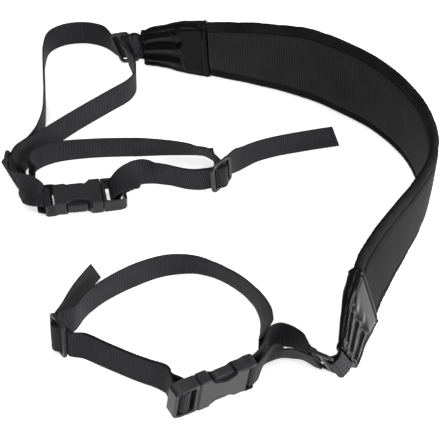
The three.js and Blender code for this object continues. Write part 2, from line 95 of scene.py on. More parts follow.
# ---- settings ---------------------------------------------------------------------------------
class PadSettings(bpy.types.PropertyGroup):
    """Sizes and colours of the shoulder pad and its end caps."""

    foam_voxel: size("Foam voxel", "Cell of the remesh that the foam swells from", 2.6 * MM)
    foam_pressure: FloatProperty(
        name="Foam pressure", description="Pressure that fills the foam out", default=4.0, min=0)
    foam_swell: size("Foam swell", "How far the foam may stand out from its cut shape", 1.1 * MM)
    rim_width: size("Rim width", "Width of the padded rim along both edges", 9.0 * MM)
    rim_thick: size("Rim thickness", "Thickness of the pad at its rims", 10.0 * MM)
    core_thick: size("Core thickness", "Thickness of the foam under the linings", 6.2 * MM)
    knit_colour: colour("Knit", "Knit face of the neoprene rim", "#19191a")
    lining_colour: colour("Lining", "Threads of the non-slip lining", "#2a2a2b")
    # the lining hole colour is painted shade: the holes between the threads are drawn darker for
    # the shade that falls into them
    lining_hole_shade: colour("Lining holes", "Ground under the lining's threads", "#0c0c0d")
    outer_colour: colour("Outer fabric", "Smooth fabric on the outside of the bend", "#151516")
    leather_colour: colour("Leather", "Coated leather of the end caps", "#09090a")
    lining_pitch: size("Lining pitch", "Spacing of the lining's rows of threads", 2.6 * MM)


class WebbingSettings(bpy.types.PropertyGroup):
    """Sizes and colours of the polyester webbing."""

    thick: size("Thickness", "Thickness of the webbing", 1.6 * MM)
    rib_pitch: size("Rib pitch", "Spacing of the ribs that run across the webbing", 2.0 * MM)
    crest_colour: colour("Rib crest", "Yarn on top of the ribs", "#2e2e31")
    valley_colour: colour("Rib valley", "Shade between the ribs", "#0b0b0c")
    thread_colour: colour("Thread", "Sewing thread", "#303032")
    stitch_length: size("Stitch length", "Length of one stitch", 2.2 * MM)


class FittingSettings(bpy.types.PropertyGroup):
    """Sizes and colours of the moulded buckles and slides."""

    rounding: size("Rounding", "Radius of the moulded edges", 0.45 * MM)
    plastic_colour: colour("Plastic", "Moulded acetal", "#202022")


class StageSettings(bpy.types.PropertyGroup):
    """Floor, light and camera."""

    floor_colour: colour("Floor", "Pale floor", "#f4f4f4")
    floor_glow: FloatProperty(
        name="Floor glow", description="Light the floor gives, so that shadows stay faint",
        default=0.65, min=0)
    sky_strength: FloatProperty(
        name="Surround", description="Strength of the white surround", default=0.35, min=0)
    camera_height: FloatProperty(
        name="Camera elevation", description="Angle of the camera above the floor",
        default=math.radians(36.0), subtype="ANGLE")
    camera_distance: size("Camera distance", "From the camera to the strap", 1.6)
    lens: FloatProperty(
        name="Lens", description="Focal length of the camera in millimetres", default=147.93,
        min=1)


# ---- nodes ------------------------------------------------------------------------------------
def set_inputs(tree, node, inputs):
    """Gives each input a value, or links it to an output or to a node's first output."""
    for key, value in inputs.items():
        if isinstance(value, bpy.types.Node):
            value = value.outputs[0]
        if isinstance(value, bpy.types.NodeSocket):
            tree.links.new(value, node.inputs[key])
        else:
            node.inputs[key].default_value = value


def add_node(tree, kind, inputs=None, **settings):
    """A node with its settings, values and links."""
    node = tree.nodes.new(kind)
    for key, value in settings.items():
        setattr(node, key, value)
    set_inputs(tree, node, inputs or {})
    return node


def start_material(name, **shader_values):
    """A new material with its tree and shader node."""
    material = bpy.data.materials.new(name)
    material.use_nodes = True
    tree = material.node_tree
    shader = tree.nodes["Principled BSDF"]
    set_inputs(tree, shader, {key.replace("_", " "): value for key, value in shader_values.items()})
    return material, tree, shader


def rgba(rgb, share=1.0):
    """A colour with alpha, dimmed to a share of its strength."""
    return (*(c * share for c in rgb), 1.0)


# A wave texture has one band every WAVE / scale units.
WAVE = 2 * math.pi / 20


def woven_webbing():
    """Polyester webbing in a heavy rib weave: matt, with a little sheen on the rib crests."""
    s = bpy.context.scene.strap_webbing
    material, tree, shader = start_material(
        "polyester_webbing", Roughness=0.6, IOR=1.35, Specular_IOR_Level=0.2)
    # The run of the webbing is u and its width v, both in millimetres. The real ribs are about
    # 1.2 mm apart, which is too fine to show, so they are drawn a little coarser.
    uv = add_node(tree, "ShaderNodeUVMap", uv_map="run")
    ribs = add_node(
        tree, "ShaderNodeTexWave",
        {"Vector": uv, "Scale": WAVE / (s.rib_pitch / MM), "Distortion": 1.6, "Detail": 2.0,
         "Detail Scale": 0.5},
        bands_direction="X")
    # the warp yarns that bind the ribs run along the webbing and are 1.4 mm wide
    yarns = add_node(
        tree, "ShaderNodeTexWave",
        {"Vector": uv, "Scale": WAVE / 1.4, "Distortion": 1.4, "Detail": 1.0},
        bands_direction="Y")
    weave = add_node(
        tree, "ShaderNodeMix", {0: 0.22, 2: ribs.outputs["Fac"], 3: yarns.outputs["Fac"]})
    # patches of handling wear, about 17 mm across
    wear = add_node(tree, "ShaderNodeTexNoise", {"Vector": uv, "Scale": 0.06, "Detail": 4.0})
    light = add_node(
        tree, "ShaderNodeMapRange", {0: wear, 1: 0.35, 2: 0.65, 3: 0.72, 4: 1.0})
    factor = add_node(tree, "ShaderNodeMath", {0: weave, 1: light}, operation="MULTIPLY")
    # the valley colour is painted shade between the ribs, mixed in where the weave is low
    shade = add_node(
        tree, "ShaderNodeMix", {0: factor, 6: rgba(s.valley_colour), 7: rgba(s.crest_colour)},
        data_type="RGBA")
    raised = add_node(
        tree, "ShaderNodeBump", {"Height": weave, "Distance": 0.5 * MM, "Strength": 0.9})
    set_inputs(tree, shader, {"Base Color": shade.outputs[2], "Normal": raised})
    return material


def knit_neoprene():
    """Neoprene foam with a fine knit face: soft black with hardly any gloss."""
    s = bpy.context.scene.strap_pad
    material, tree, shader = start_material(
        "knit_faced_neoprene", Roughness=0.85, IOR=1.2, Specular_IOR_Level=0.2)
    place = add_node(tree, "ShaderNodeTexCoord").outputs["Object"]
    # knit loops are about 0.5 mm, too fine to show, so they are drawn as a 1.2 mm grain
    grain = add_node(
        tree, "ShaderNodeTexNoise", {"Vector": place, "Scale": 1 / (1.2 * MM), "Detail": 2.0})
    # the knit's pile lies in patches about 30 mm across
    cloud = add_node(tree, "ShaderNodeTexNoise", {"Vector": place, "Scale": 34.0, "Detail": 3.0})
    mixed = add_node(tree, "ShaderNodeMath", {0: grain, 1: cloud}, operation="MULTIPLY")
    factor = add_node(tree, "ShaderNodeMapRange", {0: mixed, 1: 0.12, 2: 0.38})
    shade = add_node(
        tree, "ShaderNodeMix", {0: factor, 6: rgba(s.knit_colour, 0.45), 7: rgba(s.knit_colour)},
        data_type="RGBA")
    raised = add_node(
        tree, "ShaderNodeBump", {"Height": grain, "Distance": 0.15 * MM, "Strength": 0.5})
    set_inputs(tree, shader, {"Base Color": shade.outputs[2], "Normal": raised})
    return material


def mesh_lining():
    """Non-slip mesh lining: fine rows of threads across the pad with small holes between, darkened
    with painted shade.
    """
    s = bpy.context.scene.strap_pad
    material, tree, shader = start_material(
        "spacer_mesh_lining", Roughness=0.75, IOR=1.3, Specular_IOR_Level=0.2)
    uv = add_node(tree, "ShaderNodeUVMap", uv_map="run")
    # real rows are about 1.5 mm apart, too fine to show, so they are drawn a little coarser
    rows = add_node(
        tree, "ShaderNodeTexWave",
        {"Vector": uv, "Scale": WAVE / (s.lining_pitch / MM), "Distortion": 0.5, "Detail": 1.0},
        bands_direction="X")
    cords = add_node(
        tree, "ShaderNodeTexWave",
        {"Vector": uv, "Scale": WAVE / (0.8 * s.lining_pitch / MM), "Distortion": 0.5},
        bands_direction="Y")
    threads = add_node(
        tree, "ShaderNodeMix", {0: 0.35, 2: rows.outputs["Fac"], 3: cords.outputs["Fac"]})
    # patches where the mesh is rubbed, about 30 mm across
    cloud = add_node(tree, "ShaderNodeTexNoise", {"Vector": uv, "Scale": 0.035, "Detail": 4.0})
    light = add_node(
        tree, "ShaderNodeMapRange", {0: cloud, 1: 0.35, 2: 0.65, 3: 0.7, 4: 1.0})
    factor = add_node(tree, "ShaderNodeMath", {0: threads, 1: light}, operation="MULTIPLY")
    # the holes between the threads take the darker colour, which is painted shade in the holes
    shade = add_node(
        tree, "ShaderNodeMix",
        {0: factor, 6: rgba(s.lining_hole_shade), 7: rgba(s.lining_colour)}, data_type="RGBA")
    raised = add_node(
        tree, "ShaderNodeBump", {"Height": threads, "Distance": 0.3 * MM, "Strength": 0.7})
    set_inputs(tree, shader, {"Base Color": shade.outputs[2], "Normal": raised})
    return material


def outer_fabric():
    """Smooth close-woven fabric: dark grey with a soft even sheen and faint handling marks."""
    s = bpy.context.scene.strap_pad
    material, tree, shader = start_material(
        "close_woven_fabric", Roughness=0.7, IOR=1.2, Specular_IOR_Level=0.2)
    uv = add_node(tree, "ShaderNodeUVMap", uv_map="run")
    # a plain weave of 0.5 mm threads, too fine to show, so it is drawn at 1 mm
    warp = add_node(
        tree, "ShaderNodeTexWave", {"Vector": uv, "Scale": WAVE, "Distortion": 0.4},
        bands_direction="X")
    weft = add_node(
        tree, "ShaderNodeTexWave", {"Vector": uv, "Scale": WAVE, "Distortion": 0.4},
        bands_direction="Y")
    weave = add_node(
        tree, "ShaderNodeMath", {0: warp.outputs["Fac"], 1: weft.outputs["Fac"]},
        operation="MULTIPLY")
    # handling marks, about 14 mm across
    cloud = add_node(tree, "ShaderNodeTexNoise", {"Vector": uv, "Scale": 0.07, "Detail": 5.0})
    factor = add_node(
        tree, "ShaderNodeMath", {0: weave, 1: 0.3, 2: cloud}, operation="MULTIPLY_ADD")
    shade = add_node(
        tree, "ShaderNodeMix",
        {0: factor, 6: rgba(s.outer_colour, 0.6), 7: rgba(s.outer_colour)}, data_type="RGBA")
    raised = add_node(
        tree, "ShaderNodeBump", {"Height": weave, "Distance": 0.08 * MM, "Strength": 0.4})
    set_inputs(tree, shader, {"Base Color": shade.outputs[2], "Normal": raised})
    return material


def coated_leather():
    """Coated split leather, pressed over ridges: glossy black with a fine pebble grain."""
    s = bpy.context.scene.strap_pad
    material, tree, shader = start_material("coated_leather", IOR=1.18, Specular_IOR_Level=0.5)
    place = add_node(tree, "ShaderNodeTexCoord").outputs["Object"]
    # the pebbles of the grain are 1 to 1.5 mm
    pebbles = add_node(
        tree, "ShaderNodeTexVoronoi", {"Vector": place, "Scale": 1 / (1.3 * MM)},
        feature="SMOOTH_F1")
    # soft creases, about 11 mm apart
    creases = add_node(tree, "ShaderNodeTexNoise", {"Vector": place, "Scale": 90.0, "Detail": 4.0})
    shade = add_node(
        tree, "ShaderNodeMix",
        {0: creases, 6: rgba(s.leather_colour, 0.6), 7: rgba(s.leather_colour, 1.6)},
        data_type="RGBA")
    gloss = add_node(tree, "ShaderNodeMapRange", {0: creases, 1: 0.3, 2: 0.7, 3: 0.07, 4: 0.2})
    height = add_node(
        tree, "ShaderNodeMath", {0: pebbles, 1: 0.3, 2: creases}, operation="MULTIPLY_ADD")
    raised = add_node(
        tree, "ShaderNodeBump", {"Height": height, "Distance": 0.2 * MM, "Strength": 0.3})
    set_inputs(
        tree, shader, {"Base Color": shade.outputs[2], "Roughness": gloss, "Normal": raised})
    return material


def moulded_acetal():
    """Injection-moulded acetal with a lightly textured mould face: satin black."""
    s = bpy.context.scene.strap_fittings
    material, tree, shader = start_material("moulded_acetal", IOR=1.32, Specular_IOR_Level=0.5)
    place = add_node(tree, "ShaderNodeTexCoord").outputs["Object"]
    # the mould's spark-eroded texture is about 0.3 mm, too fine to show, so it is drawn at 0.8 mm
    texture = add_node(
        tree, "ShaderNodeTexNoise", {"Vector": place, "Scale": 1 / (0.8 * MM), "Detail": 2.0})
    # scuffs from use, about 6 mm across
    scuffs = add_node(tree, "ShaderNodeTexNoise", {"Vector": place, "Scale": 160.0, "Detail": 5.0})
    shade = add_node(
        tree, "ShaderNodeMix",
        {0: scuffs, 6: rgba(s.plastic_colour, 0.7), 7: rgba(s.plastic_colour)},
        data_type="RGBA")
    gloss = add_node(tree, "ShaderNodeMapRange", {0: scuffs, 1: 0.3, 2: 0.7, 3: 0.26, 4: 0.4})
    raised = add_node(
        tree, "ShaderNodeBump", {"Height": texture, "Distance": 0.05 * MM, "Strength": 0.3})
    set_inputs(
        tree, shader, {"Base Color": shade.outputs[2], "Roughness": gloss, "Normal": raised})
    return material


def sewing_thread():
    """Bonded polyester thread: dark, with a slight shine and a twist of 0.6 mm."""
    s = bpy.context.scene.strap_webbing
    material, tree, shader = start_material(
        "bonded_polyester_thread", Roughness=0.5, IOR=1.5, Specular_IOR_Level=0.3)
    place = add_node(tree, "ShaderNodeTexCoord").outputs["Object"]
    twist = add_node(
        tree, "ShaderNodeTexNoise", {"Vector": place, "Scale": 1 / (0.6 * MM), "Detail": 1.0})
    shade = add_node(
        tree, "ShaderNodeMix",
        {0: twist, 6: rgba(s.thread_colour, 0.5), 7: rgba(s.thread_colour)}, data_type="RGBA")
    raised = add_node(
        tree, "ShaderNodeBump", {"Height": twist, "Distance": 0.1 * MM, "Strength": 0.5})
    set_inputs(tree, shader, {"Base Color": shade.outputs[2], "Normal": raised})
    return material


FINISHES = {
    "webbing": woven_webbing, "neoprene": knit_neoprene, "mesh": mesh_lining,
    "outer_fabric": outer_fabric, "coated_leather": coated_leather, "plastic": moulded_acetal,
    "thread": sewing_thread,
}
made_finishes = {}


def finish_for(slot):
    """The material of a slot, made the first time that it is asked for."""
    if slot not in made_finishes:
        made_finishes[slot] = FINISHES[slot]()
    return made_finishes[slot]


# ---- meshes -----------------------------------------------------------------------------------
def deselect():
    """Leaves no object selected."""
    for obj in bpy.context.selected_objects:
        obj.select_set(False)


def take(obj):
    """Makes an object the only selected one and the active one."""
    deselect()
    obj.select_set(True)
    bpy.context.view_layer.objects.active = obj


def settle(obj, slot, *nodes, record_slot=None):
    """Gives a finished piece its material and its body, and hides the nodes that it stands for."""
    obj.data.materials.clear()
    obj.data.materials.append(finish_for(slot))
    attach(obj, BODY)
    if nodes:
        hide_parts(*nodes)


def object_of(name, points, faces):
    """A new object with a mesh of these points and faces."""
    mesh = bpy.data.meshes.new(name)
    mesh.from_pydata([tuple(p) for p in points], [], faces)
    obj = bpy.data.objects.new(name, mesh)
    bpy.context.collection.objects.link(obj)
    return obj


def face_outwards(obj):
    """Turns every face of a closed shell to point outwards."""
    shell = bmesh.new()
    shell.from_mesh(obj.data)
    bmesh.ops.recalc_face_normals(shell, faces=shell.faces)
    shell.to_mesh(obj.data)
    shell.free()


def apply_modifiers(obj):
    """Applies an object's modifiers in their order."""
    take(obj)
    for modifier in list(obj.modifiers):
        bpy.ops.object.modifier_apply(modifier=modifier.name)


def smooth(obj, degrees):
    """Shades an object smooth, with sharp edges where its faces meet at more than an angle."""
    take(obj)
    bpy.ops.object.shade_smooth_by_angle(angle=math.radians(degrees))


def loft(name, rings, run, across):
    """A closed skin over rings of points, with a UV map in millimetres: run along, across up."""
    m, n = rings.shape[:2]
    faces = []
    for i in range(m - 1):
        for k in range(n):
            after = (k + 1) % n
            faces.append((i * n + k, i * n + after, (i + 1) * n + after, (i + 1) * n + k))
    faces.append(tuple(range(n)))
    faces.append(tuple((m - 1) * n + k for k in reversed(range(n))))
    obj = object_of(name, rings.reshape(-1, 3), faces)
    face_outwards(obj)
    layer = obj.data.uv_layers.new(name="run")
    for loop in obj.data.loops:
        i, k = divmod(loop.vertex_index, n)
        layer.data[loop.index].uv = (run[i] / MM, across[i][k] / MM)
    return obj


# ---- reading the frame ------------------------------------------------------------------------
def sections(node, count, first):
    """The rings of points that a swept node is made of, in order from the end nearest to first."""
    shell = bmesh.new()
    shell.from_mesh(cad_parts[node].data)
    bmesh.ops.remove_doubles(shell, verts=shell.verts, dist=SAME_POINT)

    def distance(corners):
        return (sum((v.co for v in corners), Vector()) / count - Vector(first)).length

    ring = min(end_rings(shell, count), key=distance)
    rings, used = [ring], set(ring)
    while True:
        following = {}
        for vert in ring:
            for face in vert.link_faces:
                corners = list(face.verts)
                fresh = [v for v in corners if v not in used]
                if len(fresh) == 1:
                    following[corners[corners.index(fresh[0]) - 1]] = fresh[0]
        if not following:
            break
        ring = [following[v] for v in ring]
        rings.append(ring)
        used.update(ring)
    points = np.array([[tuple(v.co) for v in ring] for ring in rings])
    shell.free()
    return points


def end_rings(shell, count):
    """The rings of the flat faces that close both ends of a swept shell, in order round them."""
    ends, seen = [], set()
    for start in shell.faces:
        if start in seen:
            continue
        # a list and not a set, so that the order is the same in each run
        group, open_faces = [start], [start]
        while open_faces:
            for edge in open_faces.pop().edges:
                for face in edge.link_faces:
                    if face not in group and face.normal.dot(start.normal) > 0.99999:
                        group.append(face)
                        open_faces.append(face)
        seen.update(group)
        ring = {v for face in group for v in face.verts}
        beyond = {e.other_vert(v) for v in ring for e in v.link_edges} - ring
        if len(ring) == count and len(beyond) == count:
            ends.append(in_order(group, count))
    if len(ends) != 2:
        raise RuntimeError(f"{len(ends)} end faces with {count} corners were found, not 2")
    return ends


def in_order(group, count):
    """The corners round the outside of a group of faces."""
    rim = [e for face in group for e in face.edges
           if sum(f in group for f in e.link_faces) == 1]
    order = [rim[0].verts[0], rim[0].verts[1]]
    while len(order) < count:
        order.append(next(
            e.other_vert(order[-1]) for e in rim
            if order[-1] in e.verts and e.other_vert(order[-1]) not in order))
    return order


def along(places, values, wanted):
    """Values at the wanted places of a run, on a smooth line through the given ones."""
    slopes = np.gradient(values, places, axis=0)
    i = np.clip(np.searchsorted(places, wanted, side="right") - 1, 0, len(places) - 2)
    h = places[i + 1] - places[i]
    t = (wanted - places[i]) / h
    shape = (-1,) + (1,) * (values.ndim - 1)
    h, t = h.reshape(shape), t.reshape(shape)
    return ((2 * t**3 - 3 * t**2 + 1) * values[i] + (t**3 - 2 * t**2 + t) * h * slopes[i]
            + (3 * t**2 - 2 * t**3) * values[i + 1] + (t**3 - t**2) * h * slopes[i + 1])


def unit(vectors):
    """The same directions with a length of one."""
    return vectors / np.linalg.norm(vectors, axis=-1, keepdims=True)


class Run:
    """A swept node as a line of sections, each with its directions across and out.

    run holds how far along the line each section is, and half its half width.
    """

    def __init__(self, node, count, first, step):
        rings = sections(node, count, first)
        centre = rings.mean(axis=1)
        places = np.concatenate(
            [[0], np.cumsum(np.linalg.norm(np.diff(centre, axis=0), axis=1))])
        wanted = np.linspace(0, places[-1], max(2, math.ceil(places[-1] / step)) + 1)
        self.rings = along(places, rings, wanted)
        self.run = wanted
        self.centre = self.rings.mean(axis=1)
        spread = self.rings - self.centre[:, None]
        first_spread = rings[0] - centre[0]
        axes = np.linalg.svd(first_spread, full_matrices=False)[2]
        weights = first_spread @ axes[:2].T
        weights /= (weights**2).sum(axis=0)
        self.across, self.out = (np.einsum("k,mkx->mx", w, spread) for w in weights.T)
        if self.across[:, 2].sum() < 0:
            self.across = -self.across
        self.half = np.abs(np.einsum("mkx,mx->mk", spread, unit(self.across))).max(axis=1)
        self.length = wanted[-1]

    def face_towards(self, place):
        """Turns out to the side on which a place lies, judged at the middle of the run."""
        middle = len(self.centre) // 2
        if self.out[middle] @ (np.array(place) - self.centre[middle]) < 0:
            self.out = -self.out
        return self

    def at(self, run, across, out):
        """The point at a distance along the run, across it and out of its face."""
        i = int(np.clip(np.searchsorted(self.run, run), 0, len(self.run) - 1))
        return self.centre[i] + unit(self.across[i]) * across + unit(self.out[i]) * out

    def local(self, points, at_once=2000):
        """How far along the run and across it points lie, and the half width there."""
        nearest = np.empty(len(points), dtype=int)
        for start in range(0, len(points), at_once):
            block = slice(start, start + at_once)
            gaps = np.linalg.norm(points[block, None] - self.centre[None], axis=2)
            nearest[block] = gaps.argmin(axis=1)
        away = points - self.centre[nearest]
        across = np.einsum("nx,nx->n", away, unit(self.across)[nearest])
        return self.run[nearest], across, self.half[nearest]

    def sweep(self, name, section, beyond=None):
        """A skin whose section is given by its half width as rows of across and out.

        beyond holds the step from the first and from the last section to one more section.
        """
        rings, across = [], []
        for i, half_width in enumerate(self.half):
            rows = np.array(section(half_width))
            rings.append(self.centre[i] + rows[:, :1] * unit(self.across[i])
                         + rows[:, 1:] * unit(self.out[i]))
            across.append(rows[:, 0])
        places = self.run
        if beyond is not None:
            rings = [rings[0] + beyond[0], *rings, rings[-1] + beyond[1]]
            across = [across[0], *across, across[-1]]
            before, after = np.linalg.norm(beyond, axis=1)
            places = np.concatenate([[-before], places, [self.length + after]])
        return loft(name, np.array(rings), places, across)

    def outwards(self, end):
        """The direction square to the first (0) or last (-1) section, away from the run."""
        normal = unit(np.cross(self.across[end], self.out[end]))
        inner = self.centre[1] if end == 0 else self.centre[-2]
        return normal if normal @ (self.centre[end] - inner) > 0 else -normal


# ---- shoulder pad -----------------------------------------------------------------------------
PAD_START = tuple(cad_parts["far_end_cap"].data.vertices[0].co)
BEND_MIDDLE = (0, 0, 40 * MM)       # a place inside the bend, at half the pad's height
SWELL_FRAMES = 20


def pad_run(node, count, step):
    """A run of the pad, facing the inside of its bend."""
    return Run(node, count, PAD_START, step).face_towards(BEND_MIDDLE)


def mirrored(half):
    """A closed section from its upper half, given from one edge to the other."""
    return list(half) + [(a, -o) for a, o in reversed(half)]


def foam_section(half_width):
    """Rims rounded like a roll at both edges, and the thinner core between them."""
    s = bpy.context.scene.strap_pad
    slack = 0.5 * MM                # left free all round, for the foam to swell into
    h = half_width - slack
    t = s.rim_thick / 2 - slack
    c = s.core_thick / 2 - slack
    shoulder = 4 * MM               # how far in the roll reaches its full thickness
    roll = [(-h + shoulder * (1 - math.cos(a)), t * math.sin(a))
            for a in np.linspace(0.15, math.pi / 2, 6)]
    inner = -h + s.rim_width
    edge = roll + [(inner - 2.2 * MM, t), (inner - 0.8 * MM, t * 0.86), (inner - 0.2 * MM, c)]
    return mirrored(edge + [(-a, o) for a, o in reversed(edge)])


def trim(obj, place, outwards):
    """Cuts an object off square at a place and closes the cut."""
    take(obj)
    bpy.ops.object.mode_set(mode="EDIT")
    bpy.ops.mesh.select_all(action="SELECT")
    bpy.ops.mesh.bisect(
        plane_co=tuple(place), plane_no=tuple(outwards), use_fill=True, clear_outer=True)
    bpy.ops.object.mode_set(mode="OBJECT")


def swell(obj, run):
    """Fills the foam out with a cloth simulation and keeps it near its cut shape."""
    s = bpy.context.scene.strap_pad
    points = np.array([v.co for v in obj.data.vertices])
    place, across, half = run.local(points)
    # the core under the linings and the ends under the caps are held, and only the rims swell
    seam, capped = 1.5 * MM, 5 * MM
    sewn = (np.abs(across) < half - s.rim_width + seam) | (
        np.minimum(place, run.length - place) < capped)
    group = obj.vertex_groups.new(name="sewn")
    group.add([int(i) for i in np.nonzero(sewn)[0]], 1.0, "REPLACE")
    cloth = obj.modifiers.new("foam", "CLOTH")
    cloth.settings.quality = 5
    cloth.settings.use_pressure = True
    cloth.settings.uniform_pressure_force = s.foam_pressure
    cloth.settings.effector_weights.gravity = 0
    cloth.settings.vertex_group_mass = group.name
    cloth.settings.mass = 0.2
    scene = bpy.context.scene
    for number in range(1, SWELL_FRAMES + 1):
        scene.frame_set(number)
    apply_modifiers(obj)
    scene.frame_set(1)
    moved = np.array([v.co for v in obj.data.vertices]) - points
    length = np.linalg.norm(moved, axis=1, keepdims=True)
    moved *= np.minimum(1, s.foam_swell / np.maximum(length, 1e-9))
    for vert, place in zip(obj.data.vertices, points + moved):
        vert.co = place
    obj.vertex_groups.clear()


class STRAP_OT_pad(bpy.types.Operator):
    """Builds the neoprene pad with its padded rims"""

    bl_idname = "strap.pad"
    bl_label = "Neoprene pad"

    def execute(self, context):
        s = context.scene.strap_pad
        run = pad_run("pad_body", PAD_CORNERS, 3 * MM)
        spare = 8 * MM              # swept past both ends, and cut off square at the end
        pad = run.sweep("pad", foam_section, [run.outwards(end) * spare for end in ENDS])
        remesh = pad.modifiers.new("foam cells", "REMESH")
        remesh.mode = "VOXEL"
        remesh.voxel_size = s.foam_voxel
        relax = pad.modifiers.new("relax", "SMOOTH")
        relax.iterations = 3
        apply_modifiers(pad)
        swell(pad, run)
        relax = pad.modifiers.new("relax", "SMOOTH")
        relax.iterations = 2
        rounder = pad.modifiers.new("rounder", "SUBSURF")
        rounder.levels = rounder.render_levels = 1
        apply_modifiers(pad)
        for end in ENDS:
            trim(pad, run.centre[end], run.outwards(end))
        smooth(pad, 50)
        settle(pad, "neoprene", "pad_body")
        return {"FINISHED"}


def panel_section(half_width):
    """The section of a lining: slightly crowned, with its edges tucked under the rim."""
    h = half_width - 0.3 * MM
    face, back = 0.45 * MM, -0.6 * MM
    crown, tuck, tucked_width = 0.5 * MM, 0.85 * MM, 1.6 * MM
    shares = np.linspace(-1, 1, 21)
    top = []
    for u in shares:
        edge = min(1.0, (1 - abs(u)) * h / tucked_width)
        low = 1 - math.sin(0.5 * math.pi * edge)
        top.append((u * h, face + crown * (1 - u * u) - tuck * low))
    return top + [(u * h, back) for u in reversed(shares)]


class STRAP_OT_linings(bpy.types.Operator):
    """Builds the mesh lining and the outer fabric of the pad"""

    bl_idname = "strap.linings"
    bl_label = "Linings"

    def execute(self, context):
        pad = pad_run("pad_body", PAD_CORNERS, 1 * MM)
        short = 0.5 * MM            # how far the linings stop before the caps
        for name, node, slot, side in (
                ("pad_lining", "pad_inner_panel", "mesh", 1),
                ("pad_outer_fabric", "pad_outer_panel", "outer_fabric", -1)):
            run = pad_run(node, BAND_CORNERS, 3 * MM)
            run.out = side * run.out
            # the linings go on to the end caps, as the foam does
            steps = []
            for end in ENDS:
                gaps = np.linalg.norm(pad.centre - run.centre[end], axis=1)
                step = pad.centre[end] - pad.centre[gaps.argmin()]
                steps.append(step * (1 - short / np.linalg.norm(step)))
            panel = run.sweep(name, panel_section, steps)
            smooth(panel, 60)
            settle(panel, slot, node)
        return {"FINISHED"}


# ---- end caps ---------------------------------------------------------------------------------
SEAM_GROOVE = 4.9 * MM          # the stitched groove's distance from a cap's long edges
CAP_STITCH = 1.9 * MM
CAP_STITCH_PITCH = 3.0 * MM


def bell(x, centre, width):
    """A rounded bump, one high in its middle."""
    return np.exp(-(((x - centre) / width) ** 2))


def cap_relief(run, across, half, length):
    """How far a cap's face stands out from its plain shape: rolled seams, a fold and ridges.

    Lengths are in millimetres here, and so is the result.
    """
    edge = half - np.abs(across)
    tip = length - run                          # distance from the webbing's end of the cap
    fold = 0.44 * length + 0.12 * across        # where the plain part ends, a little slanted
    long_seams = 0.85 * bell(edge, 2.8, 1.2) - 0.6 * bell(edge, SEAM_GROOVE / MM, 0.6)
    mouth_seam = (0.7 * bell(run, 2.6, 1.5) - 0.6 * bell(run, 5.4, 0.6)
                  - 1.3 * np.clip(1 - run / 2.5, 0, 1) ** 2)
    tip_seam = 0.5 * bell(tip, 1.6, 1.2) - 0.5 * bell(tip, 4, 0.6)
    plain = 0.9 * np.clip((fold - run) / 2.4, 0, 1)
    crease = -0.5 * bell(run, fold + 1, 1.1)
    # three ridges side by side, which rise from the fold and end before the tip's seam
    wave = np.cos(1.5 * math.pi * across / np.maximum(half - 3, 0.001)) ** 2
    begun = np.clip((run - fold) / 9, 0, 1)
    ridges = 0.9 * (wave**2 - 0.4) * begun * (2 - begun) * np.clip((tip - 4) / 3, 0, 1)
    inside = np.clip((edge - 4.6) / 2, 0, 1)
    return long_seams + mouth_seam + tip_seam + (plain + crease + ridges) * inside


class STRAP_OT_caps(bpy.types.Operator):
    """Builds the leather end caps with their bands, seams and ridges"""

    bl_idname = "strap.caps"
    bl_label = "End caps"

    def execute(self, context):
        pad = pad_run("pad_body", PAD_CORNERS, 20 * MM)
        flank = 1.5 * MM            # the relief fades out towards the cap's narrow sides
        for side, end in (("far", pad.centre[0]), ("near", pad.centre[-1])):
            run = Run(f"{side}_end_cap", CAP_CORNERS, end, 0.9 * MM)
            rings = round_out(run.rings, 3)
            spread = rings - run.centre[:, None]
            across = np.einsum("mkx,mx->mk", spread, unit(run.across))
            out = np.einsum("mkx,mx->mk", spread, unit(run.out))
            relief = MM * cap_relief(
                run.run[:, None] / MM, across / MM, run.half[:, None] / MM, run.length / MM)
            relief = relief * np.clip(np.abs(out) / flank, 0, 1) * np.sign(out)
            rings = rings + relief[:, :, None] * unit(run.out)[:, None]
            out = out + relief
            cap = loft(f"{side}_cap", rings, run.run, across)
            smooth(cap, 50)
            settle(cap, "coated_leather", f"{side}_end_cap")
            self.stitch(run, side, across, out)
        return {"FINISHED"}

    def stitch(self, run, side, across, out):
        """Sews a row of stitches in the groove beside each rolled seam, on both faces."""
        def on_face(place, edge, face):
            i = int(np.searchsorted(run.run, place))
            aside = edge * (run.half[i] - SEAM_GROOVE)
            there = np.nonzero(out[i] * face > 0)[0]
            there = there[np.argsort(across[i][there])]
            height = np.interp(aside, across[i][there], out[i][there])
            return run.at(place, aside, height + face * PROUD)

        bare_tip = 14 * MM
        first, last = 3, int((run.length - bare_tip) / CAP_STITCH_PITCH)
        places = []
        for edge in (-1, 1):
            for face in (-1, 1):
                for place in np.arange(first, last) * CAP_STITCH_PITCH:
                    places.append((on_face(place, edge, face),
                                   on_face(place + CAP_STITCH, edge, face)))
        sew(f"{side}_cap_stitches", places, "coated_leather")


def round_out(rings, parts):
    """Rings with more points, on a smooth closed line through the given ones."""
    before, after = np.roll(rings, 1, axis=1), np.roll(rings, -1, axis=1)
    beyond = np.roll(rings, -2, axis=1)
    columns = []
    for step in range(parts):
        t = step / parts
        columns.append(0.5 * (2 * rings + (after - before) * t
                              + (2 * before - 5 * rings + 4 * after - beyond) * t**2
                              + (3 * rings - before - 3 * after + beyond) * t**3))
    stacked = np.stack(columns, axis=2)
    return stacked.reshape(len(rings), -1, 3)


# ---- sewing -----------------------------------------------------------------------------------
THREAD = 0.55 * MM
PROUD = 0.1 * MM                # how far the middle of a stitch stands out from the cloth


